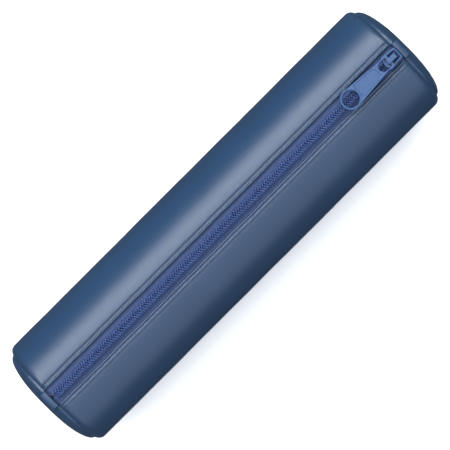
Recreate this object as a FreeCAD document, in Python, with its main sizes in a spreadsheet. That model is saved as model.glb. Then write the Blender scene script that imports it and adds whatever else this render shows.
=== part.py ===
import FreeCAD, Part
import math
import os
import re

import Sketcher
from FreeCAD import Placement, Rotation, Vector

# A round leather pencil case with one zip along its top.
# +X runs along the case towards the closed end of the zip, +Z is up, the zip is on top.
# "front" is the -Y side and "back" the +Y side. The origin is under the middle, on the table.
# Angles round the case start straight down and turn through +Y.

doc = FreeCAD.newDocument("round_pencil_case")
dims = doc.addObject("Spreadsheet::Sheet", "dims")

DIMENSIONS = {
    # leather tube
    "case_radius": 27.75,
    "flat_depth": 0.8,
    "axis_height": "=case_radius - flat_depth",
    "panel_length": 209.5,
    "turned_corner": 3.5,
    "leather": 1.6,
    "end_opening": 25.2,
    "lip_half": 4.5,
    # layers inside the leather
    "stiffener": 0.6,
    "lining": 0.4,
    "stiffener_length": 202.0,
    "lining_length": 204.6,
    "layer_gap": 0.02,
    "seam_gap": 0.05,
    # how far a cutting shape runs past what it cuts
    "past": 1.0,
    # lines where the sides bend away from the bottom
    "bend_angle": 45.0,
    "bend_gap": 0.65,
    # end caps
    "cap_radius": 24.9,
    "cap_start": 103.05,
    "cap_tip": 110.05,
    "cap_corner": 4.2,
    "cap_dome": 165.0,
    "cap_leather": 1.2,
    "board_start": 103.35,
    "board_thickness": 1.0,
    "end_lining_start": 102.7,
    "end_lining_thickness": 0.3,
    "tab_start": 104.7,
    "tab_end": 107.4,
    "tab_thickness": 0.9,
    "tab_half_angle": 9.6,
    "binding_start": 100.2,
    "binding_length": 2.4,
    "binding_thickness": 0.4,
    "binding_gap_angle": 13.0,
    "end_thread": 0.12,
    # zip
    "tape_inner_half": 0.9,
    "tape_angle": 23.0,
    "tape_end": 104.3,
    "stiffener_angle": 25.0,
    "coil_pitch": 1.31,
    "coil_wire": 0.5,
    "coil_tall": 1.8,
    "coil_reach": 0.45,
    "coil_wide": 2.8,
    "coil_lift": 26.2,
    "coil_start": -103.6,
    "coil_end": 100.0,
    "cord_radius": 0.3,
    "coil_thread": 0.1,
    "inner_thread_row": 0.75,
    "outer_thread_row": 1.45,
    # stitches on the lips
    "stitch_pitch": 4.0,
    "stitch_length": 3.0,
    "stitch_radius": 0.2,
    "stitch_line": 6.0,
    "stitch_half_row": 100.0,
    # slider, heights above the tube's axis
    "slider_nose": 96.3,
    "slider_wide_at": 98.3,
    "slider_end": 104.3,
    "slider_wide": 7.1,
    "slider_narrow": 5.5,
    "slider_nose_wide": 4.6,
    "slider_corner": 0.5,
    "top_plate_low": 28.4,
    "top_plate": 1.0,
    "flange": 0.6,
    "flange_low": 26.4,
    "bottom_plate_low": 24.1,
    "bottom_plate": 0.95,
    "bottom_plate_end": 101.9,
    "post_start": 100.5,
    "post_end": 101.9,
    "post_half": 0.75,
    "crown_start": 97.4,
    "crown_end": 102.5,
    "crown_top": 32.1,
    "crown_wall": 0.8,
    "crown_wide": 2.3,
    "crown_round": 0.65,
    "spring_thickness": 0.2,
    "spring_wide": 1.4,
    "spring_play": 0.1,
    "prong_long": 0.4,
    # pull tab
    "pull_hinge_x": 98.9,
    "pull_hinge_height": 30.35,
    "pull_length": 28.4,
    "pull_thickness": 1.3,
    "pull_ring": 4.7,
    "pull_hole": 3.75,
    "pull_neck": 6.2,
    "pull_foot_wide": 6.9,
    "pull_foot_long": 1.6,
    "pull_bar": 0.55,
    "pull_window_start": 5.6,
    "pull_solid": 1.0,
    "pull_window_wide": 4.0,
    "pull_bar_seat": 0.5,
    "pull_tilt": 2.2,
}

for row, (alias, number) in enumerate(DIMENSIONS.items(), start=1):
    dims.set(f"A{row}", alias)
    dims.set(f"B{row}", str(number))
    dims.setAlias(f"B{row}", alias)
doc.recompute()

LYING = Rotation(Vector(0, 1, 0), 90)
AXIS = "axis_height"
SAME_LENGTH = 0.01


def size(formula):
    """The value of a formula of sheet aliases."""
    return float(dims.evalExpression(formula))


def bound(formula):
    """The same formula, as another object of the document must spell it."""
    return re.sub(r"[a-z_]+", lambda word: f"dims.{word[0]}" if word[0] in DIMENSIONS else word[0], formula)


def bind(item, **formulas):
    """Set and bind properties of a document object."""
    for name, formula in formulas.items():
        item.setExpression(name, bound(formula))
    return item


def place(item, x="0", y="0", z="0", rotation=Rotation()):
    item.Placement = Placement(Vector(size(x), size(y), size(z)), rotation)
    for axis, formula in (("x", x), ("y", y), ("z", z)):
        item.setExpression(f"Placement.Base.{axis}", bound(formula))
    return item


def add(kind, label):
    item = doc.addObject(kind, label)
    item.Label = label
    return item


def lying_cylinder(label, radius, start, end, from_angle="0", sweep="360"):
    """A cylinder, or a sector of one, along the case's axis from one x to another."""
    item = bind(add("Part::Cylinder", label), Radius=radius, Height=f"({end}) - ({start})", Angle=sweep)
    turn = Rotation(Vector(1, 0, 0), size(from_angle)) * LYING
    return place(item, x=start, z=AXIS, rotation=turn)


def box(label, low, high):
    """A box between two corners, each three formulas."""
    item = add("Part::Box", label)
    bind(item, Length=f"({high[0]}) - ({low[0]})", Width=f"({high[1]}) - ({low[1]})",
         Height=f"({high[2]}) - ({low[2]})")
    return place(item, *low)


def cut(label, base, tool):
    item = add("Part::Cut", label)
    item.Base, item.Tool = base, tool
    return item


def common(label, base, tool):
    item = add("Part::Common", label)
    item.Base, item.Tool = base, tool
    return item


def fuse(label, shapes):
    item = add("Part::MultiFuse", label)
    item.Shapes = shapes
    return item


def sector_shell(label, outer, inner, half_length, from_angle, sweep):
    """A layer of the tube wall between two radii, over part of the way round."""
    solid = lying_cylinder(label + "_solid", outer, f"-({half_length})", half_length, from_angle, sweep)
    core = lying_cylinder(label + "_core", inner, f"-({half_length}) - past", f"({half_length}) + past")
    return cut(label, solid, core)


def solid_feature(label, solids):
    """A group of equal solids that a loop made."""
    item = add("Part::Feature", label)
    item.Shape = Part.makeCompound(solids)
    item.Placement = Placement(Vector(0, 0, 0), Rotation())
    return item


def origin_plane(body, role):
    return next(plane for plane in body.Origin.OriginFeatures if plane.Role == role)


def sketch_on(body, role, label):
    sketch = body.newObject("Sketcher::SketchObject", label)
    sketch.AttachmentSupport = (origin_plane(body, role), [""])
    sketch.MapMode = "FlatFace"
    return sketch


def circle_sketch(body, role, label, radius, centre=("0", "0")):
    sketch = sketch_on(body, role, label)
    middle = Vector(size(centre[0]), size(centre[1]), 0)
    sketch.addGeometry(Part.Circle(middle, Vector(0, 0, 1), size(radius)))
    for kind, formula in (("DistanceX", centre[0]), ("DistanceY", centre[1])):
        index = sketch.addConstraint(Sketcher.Constraint(kind, -1, 1, 0, 3, size(formula)))
        sketch.setExpression(f"Constraints[{index}]", bound(formula))
    index = sketch.addConstraint(Sketcher.Constraint("Radius", 0, size(radius)))
    sketch.setExpression(f"Constraints[{index}]", bound(radius))
    return sketch


def polygon_sketch(body, role, label, corners):
    """A closed outline of straight lines through corners given as formulas."""
    sketch = sketch_on(body, role, label)
    points = [Vector(size(x), size(y), 0) for x, y in corners]
    for index, point in enumerate(points):
        sketch.addGeometry(Part.LineSegment(point, points[(index + 1) % len(points)]))
    for index in range(len(points)):
        sketch.addConstraint(Sketcher.Constraint("Coincident", index, 2, (index + 1) % len(points), 1))
    for index, corner in enumerate(corners):
        for kind, formula in zip(("DistanceX", "DistanceY"), corner):
            number = sketch.addConstraint(Sketcher.Constraint(kind, -1, 1, index, 1, size(formula)))
            sketch.setExpression(f"Constraints[{number}]", bound(formula))
    return sketch


def extrude(body, kind, label, profile, length, both_ways=False, backwards=False):
    """A Pad or Pocket of a sketch."""
    feature = body.newObject(f"PartDesign::{kind}", label)
    feature.Profile = profile
    feature.Midplane = both_ways
    feature.Reversed = backwards
    bind(feature, Length=length)
    doc.recompute()
    return feature


def fillet(body, label, base, radius, wanted):
    """Round the edges of base that the test picks."""
    feature = body.newObject("PartDesign::Fillet", label)
    names = [f"Edge{n}" for n, edge in enumerate(base.Shape.Edges, start=1) if wanted(edge)]
    feature.Base = (base, names)
    bind(feature, Radius=radius)
    doc.recompute()
    return feature


def is_round(edge):
    return isinstance(edge.Curve, Part.Circle)


def stands_up(edge):
    ends = [vertex.Point for vertex in edge.Vertexes]
    return len(ends) == 2 and abs((ends[1] - ends[0]).normalize().z) > 0.99


# ---- leather panel ----

def drum(label, radius, length, corner):
    """A cylinder along the axis with rounded end edges."""
    body = add("PartDesign::Body", label)
    profile = circle_sketch(body, "YZ_Plane", label + "_circle", radius)
    solid = extrude(body, "Pad", label + "_pad", profile, length, both_ways=True)
    fillet(body, label + "_corner", solid, corner, is_round)
    return place(body, z=AXIS)


drum_outside = drum("panel_outside", "case_radius", "panel_length", "turned_corner")
drum_inside = drum("panel_inside", "case_radius - leather", "panel_length - 2 * leather",
                   "turned_corner - leather")
panel_tube = cut("panel_tube", drum_outside, drum_inside)
end_hole = lying_cylinder("panel_end_hole", "end_opening", "-panel_length", "panel_length")
panel_open = cut("panel_open", panel_tube, end_hole)
under_table = box("under_table", ("-panel_length", "-case_radius", "-case_radius"),
                  ("panel_length", "case_radius", "0"))
panel = cut("panel", panel_open, under_table)

LEATHER_INNER = "case_radius - leather"
STIFFENER_OUTER = f"{LEATHER_INNER} - layer_gap"
STIFFENER_INNER = f"{STIFFENER_OUTER} - stiffener"
LINING_OUTER = f"{STIFFENER_INNER} - layer_gap"
LINING_INNER = f"{LINING_OUTER} - lining"
GAP_ANGLE = "bend_gap / case_radius * 180 / pi"
LIP_ANGLE = math.degrees(math.asin(size("lip_half / case_radius")))

BOTTOM = ("-bend_angle", "2 * bend_angle")
SIDES = {
    "front": {"facing": -1, "lip": f"180 + {LIP_ANGLE}", "bend": f"360 - bend_angle - {GAP_ANGLE}"},
    "back": {"facing": 1, "lip": f"180 - {LIP_ANGLE}", "bend": f"bend_angle + {GAP_ANGLE}"},
}


def span(side, top):
    """Start angle and sweep from a side's bend line up to an angle near the top."""
    low, high = (top, side["bend"]) if side["facing"] < 0 else (side["bend"], top)
    return low, f"({high}) - ({low})"


def top_angle(side, from_top):
    """The angle of a line so many degrees away from the very top, on one side."""
    return f"180 - ({from_top}) * {side['facing']}"


def wall_layers(name, leather_span, stiffener_span, lining_span):
    """Leather, stiffener and lining of one region of the wall."""
    wedge = lying_cylinder(f"leather_{name}_wedge", "case_radius + past", "-panel_length / 2 - past",
                           "panel_length / 2 + past", *leather_span)
    leather = common(f"leather_{name}", panel, wedge)
    stiffener = sector_shell(f"stiffener_{name}", STIFFENER_OUTER, STIFFENER_INNER,
                             "stiffener_length / 2", *stiffener_span)
    lining = sector_shell(f"lining_{name}", LINING_OUTER, LINING_INNER, "lining_length / 2", *lining_span)
    return [leather, stiffener, lining]


nodes = wall_layers("bottom", BOTTOM, BOTTOM, BOTTOM)
for name, side in SIDES.items():
    inner_span = span(side, top_angle(side, "stiffener_angle"))
    nodes += wall_layers(name, span(side, side["lip"]), inner_span, inner_span)


# ---- zip tapes, coils and the threads and cords in them ----

def zip_tape(name, side):
    """A woven strip in the stiffener's layer, which runs on narrower past the stiffener's ends."""
    inner_edge = f"tape_inner_half / ({LEATHER_INNER}) * 180 / pi"
    strips = []
    for width, outer_edge, half_length in (("wide", "tape_angle", "stiffener_length / 2"),
                                           ("narrow", str(LIP_ANGLE), "tape_end")):
        edges = [size(top_angle(side, inner_edge)), size(top_angle(side, outer_edge))]
        sweep = str(abs(edges[1] - edges[0]))
        strips.append(sector_shell(f"tape_{name}_{width}", STIFFENER_OUTER, STIFFENER_INNER, half_length,
                                   str(min(edges)), sweep))
    return fuse(f"zip_tape_{name}", strips)


def coil_loop(facing, x):
    """One turn of the coil: a flat ring of wire round the cord, standing across the zip."""
    wire = size("coil_wire / 2")
    bend = size("coil_tall / 2") - wire
    middle = size("axis_height + coil_lift + coil_tall / 2")
    near = facing * (bend + wire - size("coil_reach"))
    far = facing * (size("coil_wide - coil_reach") - bend - wire)
    solids = []
    for centre, outwards in ((near, -facing), (far, facing)):
        ring = Part.makeTorus(bend, wire, Vector(x, centre, middle), Vector(1, 0, 0))
        corner = Vector(x - wire, min(centre, centre + outwards * 2 * bend), middle - 2 * bend)
        half = Part.makeBox(2 * wire, 2 * bend, 4 * bend, corner)
        solids.append(ring.common(half))
    for height in (middle - bend, middle + bend):
        start = Vector(x, min(near, far), height)
        solids.append(Part.makeCylinder(wire, abs(far - near), start, Vector(0, 1, 0)))
    return solids[0].fuse(solids[1:]).removeSplitter()


def zip_coil(name, side):
    """The turns of one coil. The back coil's turns stand half a pitch along, between the front's."""
    pitch = size("coil_pitch")
    first = size("coil_start") + (pitch / 2 if side["facing"] > 0 else 0)
    count = int((size("coil_end") - first) / pitch) + 1
    one = coil_loop(side["facing"], 0)
    return solid_feature(f"zip_coil_{name}", [one.translated(Vector(first + n * pitch, 0, 0))
                                              for n in range(count)])


def rod(label, radius, start, end, y, height):
    """A thin straight rod along the zip, at a height above the tube's axis."""
    item = bind(add("Part::Cylinder", label), Radius=radius, Height=f"({end}) - ({start})")
    return place(item, x=start, y=y, z=f"{AXIS} + {height}", rotation=LYING)


def coil_threads(name, side):
    """Two rows of sewing thread that hold the coil down."""
    height = "coil_lift + coil_tall + coil_thread + layer_gap"
    rows = [rod(f"coil_thread_{name}_{row}", "coil_thread", "coil_start", "coil_end",
                f"{side['facing']} * {row}_thread_row", height)
            for row in ("inner", "outer")]
    return fuse(f"coil_thread_{name}", rows)


def lip_stitches(name, side):
    """A row of stitches along the lip, lying on the leather."""
    pitch = size("stitch_pitch")
    half_row = size("stitch_half_row")
    lean = math.asin(size("stitch_line / case_radius"))
    radius = size("case_radius + stitch_radius + layer_gap")
    y = side["facing"] * radius * math.sin(lean)
    z = size(AXIS) + radius * math.cos(lean)
    count = int(2 * half_row / pitch)
    first = Vector(-(count - 1) * pitch / 2 - size("stitch_length / 2"), y, z)
    stitch = Part.makeCylinder(size("stitch_radius"), size("stitch_length"), first, Vector(1, 0, 0))
    return solid_feature(f"lip_stitching_{name}", [stitch.translated(Vector(n * pitch, 0, 0))
                                                   for n in range(count)])


for name, side in SIDES.items():
    nodes.append(zip_tape(name, side))
    nodes.append(zip_coil(name, side))
    nodes.append(rod(f"coil_cord_{name}", "cord_radius", "coil_start", "coil_end",
                     f"{side['facing']} * (coil_wide / 2 - coil_reach)", "coil_lift + coil_tall / 2"))
    nodes.append(coil_threads(name, side))
    nodes.append(lip_stitches(name, side))


# ---- ends ----

def on_rim(point, radius, start):
    """Whether a point is on the outer edge of a disc's domed face."""
    from_axis = math.hypot(point.y, point.z - size(AXIS))
    return abs(from_axis - radius) < SAME_LENGTH and point.x > start + SAME_LENGTH


def pillow(label, radius, start, tip, corner):
    """A disc along the axis with a gently domed face and a rounded edge."""
    disc = lying_cylinder(label + "_disc", radius, start, tip)
    dome = bind(add("Part::Sphere", label + "_dome"), Radius="cap_dome")
    place(dome, x=f"({tip}) - cap_dome", z=AXIS)
    blunt = common(label + "_blunt", disc, dome)
    doc.recompute()
    rims = [n for n, edge in enumerate(blunt.Shape.Edges, start=1)
            if all(on_rim(vertex.Point, size(radius), size(start)) for vertex in edge.Vertexes)]
    item = add("Part::Fillet", label)
    item.Base = blunt
    item.Edges = [(n, size(corner), size(corner)) for n in rims]
    return item


def mirrored(label, source):
    item = add("Part::Mirroring", label)
    item.Source = source
    item.Normal = Vector(1, 0, 0)
    return item


BOARD_END = "board_start + board_thickness"
INNER_PILLOW = ("cap_radius - cap_leather", "cap_tip - cap_leather", "cap_corner - cap_leather")

cap_form = pillow("cap_form", "cap_radius", "cap_start", "cap_tip", "cap_corner")
cap_hollow = pillow("cap_hollow", INNER_PILLOW[0], "cap_start - past", INNER_PILLOW[1], INNER_PILLOW[2])
padding_form = pillow("padding_form", f"{INNER_PILLOW[0]} - layer_gap", "cap_start - past",
                      f"{INNER_PILLOW[1]} - layer_gap", INNER_PILLOW[2])
beyond_board = lying_cylinder("beyond_board", "case_radius", BOARD_END, "cap_tip")
tab_form = pillow("tab_form", "cap_radius + tab_thickness", "cap_start", "cap_tip + tab_thickness",
                  "cap_corner + tab_thickness")
tab_hollow = pillow("tab_hollow", "cap_radius + layer_gap", "cap_start - past", "cap_tip + layer_gap",
                    "cap_corner")
tab_ring = cut("tab_ring", tab_form, tab_hollow)
tab_wedge = lying_cylinder("tab_wedge", "case_radius", "tab_start", "tab_end", "180 - tab_half_angle",
                           "2 * tab_half_angle")

BINDING_OUTER = "cap_radius - seam_gap"
BINDING_INNER = f"{BINDING_OUTER} - binding_thickness"
BINDING_SPAN = ("binding_gap_angle - 180", "360 - 2 * binding_gap_angle")


def right_binding():
    """A tape round the end seam inside, open where the slider's lower plate parks."""
    solid = lying_cylinder("binding_solid", BINDING_OUTER, "binding_start", "binding_start + binding_length",
                           *BINDING_SPAN)
    core = lying_cylinder("binding_core", BINDING_INNER, "binding_start - past",
                          "binding_start + binding_length + past")
    return cut("seam_binding_right", solid, core)


def right_end_thread():
    """The seam's sewing thread, lying on the binding."""
    item = add("Part::Torus", "end_seam_right")
    bind(item, Radius1=f"{BINDING_INNER} - end_thread - layer_gap", Radius2="end_thread",
         Angle3=BINDING_SPAN[1])
    turn = Rotation(Vector(1, 0, 0), size(BINDING_SPAN[0])) * LYING
    return place(item, x="binding_start + binding_length / 2", z=AXIS, rotation=turn)


right_end = [
    cut("end_cap_right", cap_form, cap_hollow),
    common("end_padding_right", padding_form, beyond_board),
    lying_cylinder("end_board_right", f"{INNER_PILLOW[0]} - layer_gap", "board_start",
                   f"{BOARD_END} - layer_gap"),
    lying_cylinder("end_lining_right", BINDING_OUTER, "end_lining_start",
                   "end_lining_start + end_lining_thickness"),
    common("end_tab_right", tab_ring, tab_wedge),
    right_binding(),
    right_end_thread(),
]
for item in right_end:
    nodes.append(item)
    nodes.append(mirrored(item.Label.replace("right", "left"), item))


# ---- slider ----

def slider_outline(end):
    """Corners of the slider's plan up to some x: a narrow nose, wide shoulders, then a taper."""
    taper = "(slider_wide - slider_narrow) / 2 / (slider_end - slider_wide_at)"
    half_end = f"slider_wide / 2 - {taper} * ({end} - slider_wide_at)"
    upper = [("slider_nose", "slider_nose_wide / 2"), ("slider_wide_at", "slider_wide / 2"), (end, half_end)]
    lower = [(x, f"-({y})") for x, y in reversed(upper)]
    return lower + upper


def slab(label, outline, low, thickness):
    """A plate of constant thickness with a given plan, at a height above the tube's axis."""
    body = add("PartDesign::Body", label)
    profile = polygon_sketch(body, "XY_Plane", label + "_outline", outline)
    plate = extrude(body, "Pad", label + "_pad", profile, thickness)
    fillet(body, label + "_round", plate, "slider_corner", stands_up)
    return place(body, z=f"{AXIS} + {low}")


def slider_body():
    """Two plates joined by a post, with flanges that hold the coils in."""
    top = slab("slider_top", slider_outline("slider_end"), "top_plate_low", "top_plate")
    block = slab("slider_block", slider_outline("slider_end"), "flange_low", "top_plate_low - flange_low")
    channel = box("slider_channel",
                  ("slider_nose - past", "flange - slider_wide / 2", f"{AXIS} + flange_low - past"),
                  ("slider_end + past", "slider_wide / 2 - flange", f"{AXIS} + top_plate_low"))
    flanges = cut("slider_flanges", block, channel)
    bottom = slab("slider_bottom", slider_outline("bottom_plate_end"), "bottom_plate_low", "bottom_plate")
    post = box("slider_post", ("post_start", "-post_half", f"{AXIS} + bottom_plate_low + bottom_plate / 2"),
               ("post_end", "post_half", f"{AXIS} + top_plate_low + top_plate / 2"))
    return fuse("slider_body", [top, flanges, bottom, post])


TOP_FACE = "top_plate_low + top_plate"


def slider_crown():
    """The bridge on the top plate that keeps the pull's bar."""
    body = add("PartDesign::Body", "slider_crown")
    foot = f"{TOP_FACE} + layer_gap"
    outline = [("crown_start", foot), ("crown_end", foot), ("crown_end", "crown_top"),
               ("crown_start", "crown_top")]
    block = extrude(body, "Pad", "crown_pad", polygon_sketch(body, "XZ_Plane", "crown_side", outline),
                    "crown_wide", both_ways=True)
    inside = [("crown_start + crown_wall", f"{foot} - past"), ("crown_end - crown_wall", f"{foot} - past"),
              ("crown_end - crown_wall", "crown_top - crown_wall"),
              ("crown_start + crown_wall", "crown_top - crown_wall")]
    window = extrude(body, "Pocket", "crown_window", polygon_sketch(body, "XZ_Plane", "crown_inside", inside),
                     "crown_wide + past", both_ways=True)
    top = size("crown_top")
    wide = size("crown_wide / 2")
    fillet(body, "crown_edges", window, "crown_round",
           lambda edge: abs(edge.BoundBox.ZMin - top) < SAME_LENGTH and edge.BoundBox.YLength > wide)
    return place(body, z=AXIS)


def lock_spring():
    """A leaf under the crown with a prong that drops towards the coils."""
    under = f"{AXIS} + crown_top - crown_wall - seam_gap"
    prong_end = "post_start + spring_play"
    leaf = box("spring_leaf", ("crown_start + crown_wall + spring_play", "-spring_wide / 2",
                               f"{under} - spring_thickness"),
               ("crown_end - crown_wall - spring_play", "spring_wide / 2", under))
    prong = box("spring_prong", (f"{prong_end} - prong_long", "-spring_wide / 4",
                                 f"{AXIS} + {TOP_FACE} + spring_play"),
                (prong_end, "spring_wide / 4", under))
    return fuse("lock_spring", [leaf, prong])


# ---- pull tab ----

def pull_tab():
    """A tapered plate with a ring at its free end and a bar under the crown at the other.
    It is drawn with the bar's axis at the origin, pointing to -X, then laid down onto the zip."""
    ring_x = "-(pull_length - pull_bar - pull_ring)"
    shoulder_x = "-(pull_window_start + pull_solid)"
    body = add("PartDesign::Body", "pull_plate")
    upper = [(ring_x, "pull_ring"), (shoulder_x, "pull_neck / 2"), ("-pull_foot_long", "pull_foot_wide / 2"),
             ("pull_bar", "pull_foot_wide / 2")]
    lower = [(x, f"-({y})") for x, y in reversed(upper)]
    extrude(body, "Pad", "pull_pad", polygon_sketch(body, "XY_Plane", "pull_outline", lower + upper),
            "pull_thickness", both_ways=True)
    extrude(body, "Pad", "pull_ring_pad",
            circle_sketch(body, "XY_Plane", "pull_ring_circle", "pull_ring", (ring_x, "0")),
            "pull_thickness", both_ways=True)
    extrude(body, "Pocket", "pull_hole_cut",
            circle_sketch(body, "XY_Plane", "pull_hole_circle", "pull_hole", (ring_x, "0")),
            "2 * pull_thickness", both_ways=True)
    half = "pull_window_wide / 2"
    window = [("-pull_window_start", f"-{half}"), ("-pull_bar", f"-{half}"), ("-pull_bar", half),
              ("-pull_window_start", half)]
    extrude(body, "Pocket", "pull_window_cut", polygon_sketch(body, "XY_Plane", "pull_window", window),
            "2 * pull_thickness", both_ways=True)
    bar_gap = [("-pull_bar", f"-{half}"), ("pull_bar + past", f"-{half}"), ("pull_bar + past", half),
               ("-pull_bar", half)]
    extrude(body, "Pocket", "pull_bar_gap_cut", polygon_sketch(body, "XY_Plane", "pull_bar_gap", bar_gap),
            "2 * pull_thickness", both_ways=True)
    bar = bind(add("Part::Cylinder", "pull_bar_rod"), Radius="pull_bar",
               Height="pull_window_wide + 2 * pull_bar_seat")
    place(bar, y="pull_window_wide / 2 + pull_bar_seat", rotation=Rotation(Vector(1, 0, 0), 90))
    pull = fuse("pull_tab", [body, bar])
    return place(pull, x="pull_hinge_x", z=f"{AXIS} + pull_hinge_height",
                 rotation=Rotation(Vector(0, 1, 0), -size("pull_tilt")))


nodes += [slider_body(), slider_crown(), lock_spring(), pull_tab()]

# ---- checks and export ----

doc.recompute()
for item in doc.Objects:
    if "Invalid" in item.State or "Error" in item.State:
        raise RuntimeError(f"{item.Label} failed: {item.State}")
for node in nodes:
    if node.Shape.isNull() or not node.Shape.isValid() or not node.Shape.Solids:
        raise RuntimeError(f"{node.Label} has no valid solid")

os.makedirs("parts", exist_ok=True)
for node in nodes:
    node.Shape.exportStep(f"parts/{node.Label}.step")
    bounds = node.Shape.BoundBox
    print(f"{node.Label:22s} solids {len(node.Shape.Solids):3d} volume {node.Shape.Volume:10.2f} "
          f"x {bounds.XMin:8.2f} {bounds.XMax:8.2f} y {bounds.YMin:7.2f} {bounds.YMax:7.2f} "
          f"z {bounds.ZMin:6.2f} {bounds.ZMax:6.2f}")
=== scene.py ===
import math

import bmesh
import bpy
import numpy as np
from mathutils import Matrix, Vector


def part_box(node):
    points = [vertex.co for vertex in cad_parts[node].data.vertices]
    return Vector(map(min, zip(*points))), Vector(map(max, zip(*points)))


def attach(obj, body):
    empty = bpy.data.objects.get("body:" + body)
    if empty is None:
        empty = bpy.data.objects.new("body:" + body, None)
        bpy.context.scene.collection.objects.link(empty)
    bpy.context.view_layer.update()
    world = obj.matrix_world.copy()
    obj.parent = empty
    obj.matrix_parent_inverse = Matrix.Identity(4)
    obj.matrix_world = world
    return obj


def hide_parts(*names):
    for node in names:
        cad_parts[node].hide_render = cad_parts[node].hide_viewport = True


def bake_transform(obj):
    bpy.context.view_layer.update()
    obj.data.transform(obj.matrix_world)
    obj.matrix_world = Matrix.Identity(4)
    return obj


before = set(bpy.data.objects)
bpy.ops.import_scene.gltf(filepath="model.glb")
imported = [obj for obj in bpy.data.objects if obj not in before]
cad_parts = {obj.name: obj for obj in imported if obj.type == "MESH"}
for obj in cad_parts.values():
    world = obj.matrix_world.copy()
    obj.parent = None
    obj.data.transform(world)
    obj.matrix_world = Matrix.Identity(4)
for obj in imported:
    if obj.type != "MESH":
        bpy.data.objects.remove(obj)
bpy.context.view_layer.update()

# Lengths below are in millimetres. MM turns them into Blender's metres as a mesh is made.
MM = 0.001


# ---- sizes, some read from model.glb's parts ----

def low(node):
    return np.array(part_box(node)[0]) / MM


def high(node):
    return np.array(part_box(node)[1]) / MM


# Radii and the heights COIL_..., PLATE_... and TAPE_TOP are measured from the tube's axis.
AXIS = (low("end_cap_right")[2] + high("end_cap_right")[2]) / 2
RADIUS = high("leather_back")[1]
PANEL_END = high("leather_back")[0]
OPENING = 25.2                              # the panel's rolled end leaves this radius for the cap
CAP_CLEARANCE = 0.05
CAP_RADIUS = OPENING - CAP_CLEARANCE
CAP_TIP = high("end_cap_right")[0]
CORNER = 3.5                                # radius of the panel's rolled end
LEATHER = 1.6
LIP = 4.5                                   # from the zip's middle line to each lip's edge
LIP_ANGLE = math.asin(LIP / RADIUS)
BACKING = 1.0                               # stiffener and lining together
LINING_RADIUS = RADIUS - LEATHER - BACKING
LINING_END = high("lining_bottom")[0]
COIL_LOW = low("zip_coil_front")[2] - AXIS
COIL_TOP = high("zip_coil_front")[2] - AXIS
COIL_OUT = high("zip_coil_back")[1]         # how far a coil reaches on its own side of the zip
COIL_IN = -low("zip_coil_back")[1]          # and on the other side
PITCH = 1.31
ZIP_END = high("zip_tape_back")[0]
STITCH_PITCH = 4.0
PLATE_LOW = 28.4
PLATE_TOP = high("slider_body")[2] - AXIS
HINGE = np.array([98.9, 0.0, AXIS + 30.35])     # a point on the line that the pull turns about
PULL_TILT = math.radians(2.2)
SIDES = {"front": -1, "back": 1}            # the sign of Y on each side

# where the open mouth starts and ends along the zip, and the length over which each end widens
MOUTH_LOW, MOUTH_HIGH, MOUTH_RAMP = -88.0, 100.0, 78.0


# ---- small tools ----

def smooth(t):
    t = np.clip(t, 0, 1)
    return t * t * (3 - 2 * t)


def bump_at(value, centre, width):
    return np.exp(-((value - centre) / width) ** 2)


def ripple(*parts):
    """A smooth, repeatable unevenness from waves, each (value, length, phase)."""
    return sum(np.sin(value * 2 * math.pi / length + phase) for value, length, phase in parts) / len(parts)


def mouth(x):
    """How far the mouth is open at each x, from 0 to 1, when the sides are fully open."""
    return smooth((x - MOUTH_LOW) / MOUTH_RAMP) * smooth((MOUTH_HIGH - x) / MOUTH_RAMP)


def on_case(x, radius, angle, side):
    """Points at angles from the top of the tube, on one side of the zip."""
    x, radius, angle = np.broadcast_arrays(x, radius, angle)
    return np.stack([x, side * radius * np.sin(angle), AXIS + radius * np.cos(angle)], axis=-1)


def new_piece(name, mesh, material):
    piece = bpy.data.objects.new(name, mesh)
    bpy.context.scene.collection.objects.link(piece)
    mesh.materials.clear()
    mesh.materials.append(material)
    mesh.shade_smooth()
    return piece


def mesh_from(name, points, faces):
    mesh = bpy.data.meshes.new(name)
    mesh.from_pydata((np.asarray(points) * MM).tolist(), [], faces)
    mesh.validate()
    return mesh


def tidy_normals(mesh):
    """Merge points that coincide, and make all faces of each closed part face outwards."""
    same_place = 1e-7
    work = bmesh.new()
    work.from_mesh(mesh)
    bmesh.ops.remove_doubles(work, verts=work.verts, dist=same_place)
    bmesh.ops.recalc_face_normals(work, faces=work.faces)
    work.to_mesh(mesh)
    work.free()
    return mesh


def grid_faces(rows, columns, close_columns=False, start=0):
    """Faces of a grid of points. close_columns joins each row's last point to its first."""
    faces = []
    for r in range(rows - 1):
        for c in range(columns if close_columns else columns - 1):
            r2, c2 = r + 1, (c + 1) % columns
            faces.append((start + r * columns + c, start + r * columns + c2,
                          start + r2 * columns + c2, start + r2 * columns + c))
    return faces


def grid_piece(name, points, material, flip=False, uv_size=None, close_ends=False, close_columns=False):
    """A surface through a grid of points, with a UV map in millimetres. close_ends joins the two
    halves of the first row, and of the last, where a row goes round both faces of a sheet."""
    rows, columns = points.shape[:2]
    faces = grid_faces(rows, columns, close_columns)
    if close_ends:
        last = (rows - 1) * columns
        for c in range(columns // 2 - 1):
            faces.append((c, columns - 1 - c, columns - 2 - c, c + 1))
            faces.append((last + c, last + c + 1, last + columns - 2 - c, last + columns - 1 - c))
    if flip:
        faces = [face[::-1] for face in faces]
    mesh = mesh_from(name, points.reshape(-1, 3), faces)
    if uv_size:
        width, height = uv_size
        layer = mesh.uv_layers.new(name="UVMap")
        index = np.zeros(len(mesh.loops), int)
        mesh.loops.foreach_get("vertex_index", index)
        uv = np.stack([(index // columns) / (rows - 1) * width,
                       (index % columns) / (columns - 1) * height], axis=-1)
        layer.data.foreach_set("uv", uv.ravel().astype(np.float32))
    return new_piece(name, mesh, material)


def arc_length(points):
    """Mean length of a grid's rows, and of its columns, in millimetres."""
    return [float(np.linalg.norm(np.diff(points, axis=axis), axis=-1).sum(axis=axis).mean())
            for axis in (1, 0)]


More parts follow.
